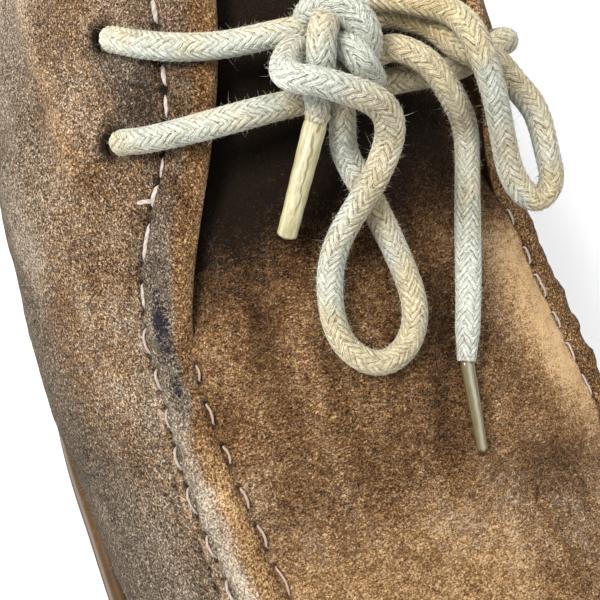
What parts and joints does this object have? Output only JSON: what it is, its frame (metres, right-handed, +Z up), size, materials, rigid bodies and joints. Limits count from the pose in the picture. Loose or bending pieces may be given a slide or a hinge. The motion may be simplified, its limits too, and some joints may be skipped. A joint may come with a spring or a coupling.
{
  "type": "lace-up moccasin shoe",
  "caption": "Low lace-up moccasin shoe on a thick flat sole: hollow suede upper with a raised apron seam, open flaps, tongue, and a cotton lace tied in a bow.",
  "frame": {"origin": "on the floor, in the middle of the shoe's own box without the loose lace", "axes": "+Z up; toe towards -Y; outer side of the foot towards -X"},
  "size_m": [0.1037, 0.2917, 0.1118],
  "materials": {
    "sole": "smooth gum rubber, worn",
    "insole": "plain lining leather",
    "upper": "worn brown suede with a nap",
    "tongue": "worn brown suede",
    "lace": "round braided natural cotton",
    "aglet": "clear yellowed plastic sheath"
  },
  "bodies": {
    "root": {"outsole": "sole", "insole": "insole", "upper": "upper", "tongue": "tongue", "lace_bars": "lace", "lace_knot": "lace", "lace_loop_outer": "lace", "lace_end_outer": "lace", "lace_loop_inner": "lace", "lace_end_inner": "lace", "aglet_outer": "aglet", "aglet_inner": "aglet"}
  },
  "joints": []
}
